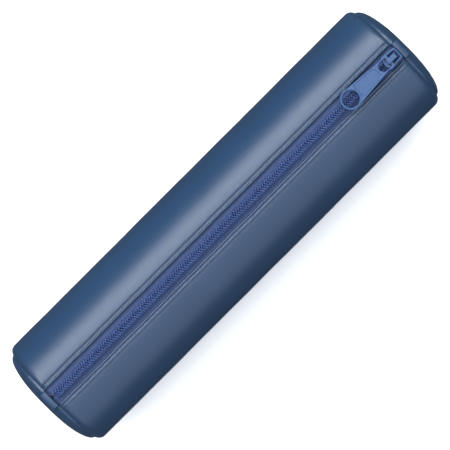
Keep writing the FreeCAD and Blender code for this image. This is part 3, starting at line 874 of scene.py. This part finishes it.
def joined(name, meshes, material, place):
    """One piece from several meshes in millimetres, moved by a matrix of millimetres."""
    work = bmesh.new()
    for mesh in meshes:
        work.from_mesh(mesh)
    bmesh.ops.recalc_face_normals(work, faces=work.faces)
    bmesh.ops.transform(work, matrix=Matrix.Scale(MM, 4) @ place, verts=work.verts)
    mesh = bpy.data.meshes.new(name)
    work.to_mesh(mesh)
    work.free()
    piece = new_piece(name, mesh, material)
    mesh.set_sharp_from_angle(angle=math.radians(40))
    return piece


SLIDER_END = 104.3


def slider_outline(end=SLIDER_END):
    """The slider seen from above: a curved nose, wide shoulders, then a taper to a straight end."""
    nose_x, wide_x = 96.2, 98.3
    wide, narrow = 3.55, 2.75
    at_end = wide + (narrow - wide) * (end - wide_x) / (SLIDER_END - wide_x)
    corners = [(nose_x, -1.5), (wide_x - 0.9, -wide + 0.35), (wide_x, -wide), (end, -at_end),
               (end, at_end), (wide_x, wide), (wide_x - 0.9, wide - 0.35), (nose_x, 1.5)]
    return rounded(corners, [1.6, 1.0, 0.6, 0.45, 0.45, 0.6, 1.0, 1.6])


def rod_mesh(start, end, radius, sides=20):
    points, faces = tube_mesh_data([start, (np.array(start) + end) / 2, end], radius, sides)
    mesh = bpy.data.meshes.new("rod")
    mesh.from_pydata(points.tolist(), [], faces)
    return mesh


def slider_pieces():
    """The slider: a top plate with a raised rim, side flanges, a lower plate and the post between them.
    Then the crown that holds the pull, and the lock spring's finish."""
    recess = rounded([(97.6, -2.15), (103.6, -2.0), (103.6, 2.0), (97.6, 2.15)], [1.3, 0.5, 0.5, 1.3])
    floor_z = PLATE_TOP - 0.95
    deck = PLATE_LOW - 0.25
    strips = []
    for side in (-1, 1):
        outer = [(x, y) for x, y in slider_outline() if side * y > 2.3 and x < 104.0]
        outer.sort(key=lambda p: p[0])
        inner = [(x, y - side * 0.62) for x, y in reversed(outer)]
        strips.append(outer + inner)
    slot = [(98.5, 1.3), (102.8, 1.3), (102.8, -1.3), (98.5, -1.3), (98.5, -2.0), (103.45, -2.0),
            (103.45, 2.0), (98.5, 2.0)]
    meshes = [plate([slider_outline(), slot], deck, floor_z + 0.02, 0.05),
              plate([slider_outline(), recess], floor_z, PLATE_TOP, 0.22, 4),
              plate([slider_outline(end=101.9)], 24.1, 25.05, 0.2),
              plate([rounded([(100.5, -0.75), (101.9, -0.75), (101.9, 0.75), (100.5, 0.75)],
                             [0.6, 0.3, 0.3, 0.6])], 24.6, 28.6, 0.05)]
    meshes += [plate([strip], 26.4, PLATE_LOW + 0.1, 0.1) for strip in strips]
    body = joined("slider", meshes, PAINT, Matrix.Translation((0, 0, AXIS)))
    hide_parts("slider_body")

    crown_top = high("slider_crown")[2] - AXIS
    side_view = rounded([(97.35, floor_z), (102.55, floor_z), (102.55, crown_top), (97.35, crown_top)],
                        [0.1, 0.1, 1.35, 1.0])
    window = rounded([(98.15, floor_z + 0.35), (101.75, floor_z + 0.35), (101.75, crown_top - 0.8),
                      (98.15, crown_top - 0.8)], [0.2, 0.2, 0.5, 0.5])
    upright = Matrix.Rotation(math.radians(90), 4, "X")
    arch = plate([side_view, window], -1.15, 1.15, 0.38, 6)
    crown = joined("crown", [arch], PAINT, Matrix.Translation((0, 0, AXIS)) @ upright)
    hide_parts("slider_crown")
    for piece in (body, crown):
        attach(piece, "slider")
    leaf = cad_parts["lock_spring"]
    leaf.data.materials.clear()
    leaf.data.materials.append(STEEL)


def pull_piece():
    """The pull, drawn with its bar on the hinge line and pointing to -X, then laid on the zip."""
    ring_x, ring, hole = -23.15, 4.7, 3.7
    arc = [(ring_x + ring * math.cos(a), ring * math.sin(a))
           for a in np.linspace(math.radians(74), math.radians(286), 60)]
    foot = rounded([(-21.6, -4.45), (-2.9, -2.86), (-1.5, -3.42), (0.62, -3.2), (0.62, 3.2), (-1.5, 3.42),
                    (-2.9, 2.86), (-21.6, 4.45)], [0, 1.2, 0.8, 0.7, 0.7, 0.8, 1.2, 0])
    outline = arc + foot
    round_hole = circle((ring_x, 0), hole)
    window = rounded([(-5.75, -2.3), (-0.75, -2.2), (-0.75, 2.2), (-5.75, 2.3)], [2.25, 0.3, 0.3, 2.25], 14)
    notch = rounded([(0.5, -2.1), (2.0, -2.1), (2.0, 2.1), (0.5, 2.1)], [0.1] * 4)
    panel = rounded([(-18.4, -3.35), (-7.0, -2.45), (-7.0, 2.45), (-18.4, 3.35)], [0.9, 1.9, 1.9, 0.9], 12)
    low_z, high_z = -0.62, 0.62
    meshes = [plate([outline, round_hole, window], low_z, high_z - 0.22, 0.18),
              plate([outline, round_hole, window, panel], high_z - 0.66, high_z, 0.27, 5),
              rod_mesh((0, -2.6, 0), (0, 2.6, 0), 0.55)]
    bead_ring, bead_radius = 4.2, 0.34
    rim = [(ring_x + bead_ring * math.cos(a), bead_ring * math.sin(a), high_z - 0.05)
           for a in np.linspace(0, 2 * math.pi, 96)]
    points, faces = tube_mesh_data(rim, bead_radius, 10)
    bead = bpy.data.meshes.new("bead")
    bead.from_pydata(points.tolist(), [], faces)
    meshes.append(bead)
    laid = Matrix.Translation(Vector(HINGE)) @ Matrix.Rotation(-PULL_TILT, 4, "Y")
    pull = joined("pull", meshes, PAINT, laid)
    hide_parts("pull_tab")
    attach(pull, "pull")


slider_pieces()
pull_piece()


# ---- stage ----

# The floor looks like pale paper to the camera. Other rays see it dark, so that it doesn't light the
# tube's sides from below.
FLOOR_SEEN, FLOOR_UNSEEN = (0.92, 0.92, 0.92), (0.05, 0.055, 0.06)
LIGHT_AIM = (0, 0, 0.03)


def area_light(name, location, size, power, color=(1, 1, 1)):
    light = bpy.data.lights.new(name, "AREA")
    light.shape = "RECTANGLE"
    light.size, light.size_y = size
    light.energy = power
    light.color = color
    holder = bpy.data.objects.new(name, light)
    bpy.context.scene.collection.objects.link(holder)
    holder.location = location
    holder.rotation_mode = "QUATERNION"
    holder.rotation_quaternion = (Vector(LIGHT_AIM) - Vector(location)).to_track_quat("-Z", "Y")


def stage():
    """Floor, world and lights, in metres."""
    mesh = bpy.data.meshes.new("floor")
    half = 3.0
    corners = [(-half, -half, 0), (half, -half, 0), (half, half, 0), (-half, half, 0)]
    mesh.from_pydata(corners, [], [(0, 1, 2, 3)])
    pale, tree, shader = material("floor_paper", FLOOR_SEEN, 0.9)
    seen = node(tree, "ShaderNodeLightPath").outputs["Is Camera Ray"]
    tree.links.new(mix_color(tree, seen, FLOOR_UNSEEN, FLOOR_SEEN), shader.inputs["Base Color"])
    shader.inputs["Specular IOR Level"].default_value = 0.1
    floor = new_piece("floor", mesh, pale)

    bpy.context.scene.view_settings.view_transform = "Standard"
    world = bpy.data.worlds.new("studio")
    bpy.context.scene.world = world
    world.use_nodes = True
    background = world.node_tree.nodes["Background"]
    background.inputs["Color"].default_value = (0.95, 0.97, 1.0, 1)
    background.inputs["Strength"].default_value = 0.05

    area_light("key", (0.0, 0.72, 0.73), (3.6, 0.48), 35, (0.95, 1.0, 1.06))
    area_light("fill", (0.0, -0.85, 0.70), (3.6, 1.5), 19, (0.9, 1.0, 1.15))
    area_light("overhead", (0.0, 0.0, 2.6), (1.5, 1.5), 42)
    for end in (-1, 1):
        area_light(f"end_{end}", (end * 1.1, 0.25, 0.75), (1.0, 1.2), 6)


def camera():
    """Straight down onto the zip, with the case running from lower left to upper right."""
    data = bpy.data.cameras.new("camera")
    data.sensor_width = 36.0
    distance, seen = 1.6, 195.1 * MM        # what the picture takes in at the height of the axis
    data.lens = data.sensor_width * distance / seen
    data.clip_start, data.clip_end = 0.1, 10
    holder = bpy.data.objects.new("camera", data)
    bpy.context.scene.collection.objects.link(holder)
    holder.location = (0, 0, AXIS * MM + distance)
    holder.rotation_euler = (0, 0, math.radians(-45))
    bpy.context.scene.camera = holder


stage()
camera()
